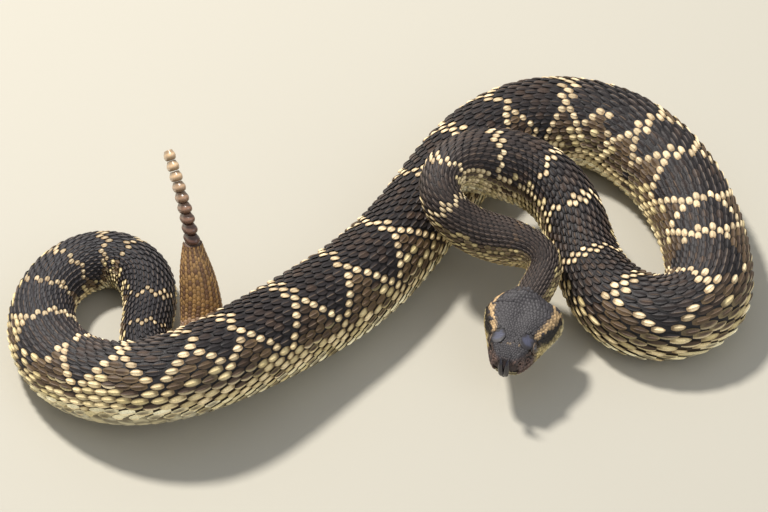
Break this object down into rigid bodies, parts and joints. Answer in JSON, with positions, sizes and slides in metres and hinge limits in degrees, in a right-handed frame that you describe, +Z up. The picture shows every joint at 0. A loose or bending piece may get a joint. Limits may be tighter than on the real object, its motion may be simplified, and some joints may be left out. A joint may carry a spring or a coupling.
{
  "type": "southern pacific rattlesnake",
  "caption": "Life-size rattlesnake lying in open loops, its neck arched over its back, head low with the tongue out, tail and rattle raised.",
  "frame": {"origin": "on the floor, under the middle of the whole snake's box", "axes": "+X along the longest side of the pose, to the right as the picture sees it; +Y away from the viewer; +Z up"},
  "size_m": [0.3259, 0.2151, 0.0821],
  "materials": {
    "body_scales": "keeled scales, dark brown blotches edged in cream, satin",
    "head_scales": "small grey-brown scales, satin",
    "jaw_scales": "smooth lip scales, yellowish brown, satin",
    "tail_scales": "keeled golden-brown scales, satin",
    "eye": "wet gloss, upright pupil",
    "tongue": "wet gloss, purple black",
    "rattle": "dry horn, reddish brown to tan"
  },
  "bodies": {
    "root": {"head": "head_scales", "lower_jaw": "jaw_scales", "eye_left": "eye", "eye_right": "eye", "tongue": "tongue", "neck": "body_scales", "neck_crossing": "body_scales", "neck_loop": "body_scales", "shoulder": "body_scales", "body_1": "body_scales", "body_2": "body_scales", "body_3": "body_scales", "body_4": "body_scales", "body_5": "body_scales", "body_6": "body_scales", "body_7": "body_scales", "body_8": "body_scales", "body_9": "body_scales", "body_10": "body_scales", "body_11": "body_scales", "body_12": "body_scales", "body_13": "body_scales", "body_14": "body_scales", "tail_turn": "body_scales", "tail": "tail_scales", "rattle_segment_1": "rattle", "rattle_segment_2": "rattle", "rattle_segment_3": "rattle", "rattle_segment_4": "rattle", "rattle_segment_5": "rattle", "rattle_segment_6": "rattle", "rattle_segment_7": "rattle", "rattle_segment_8": "rattle", "rattle_segment_9": "rattle"}
  },
  "joints": []
}
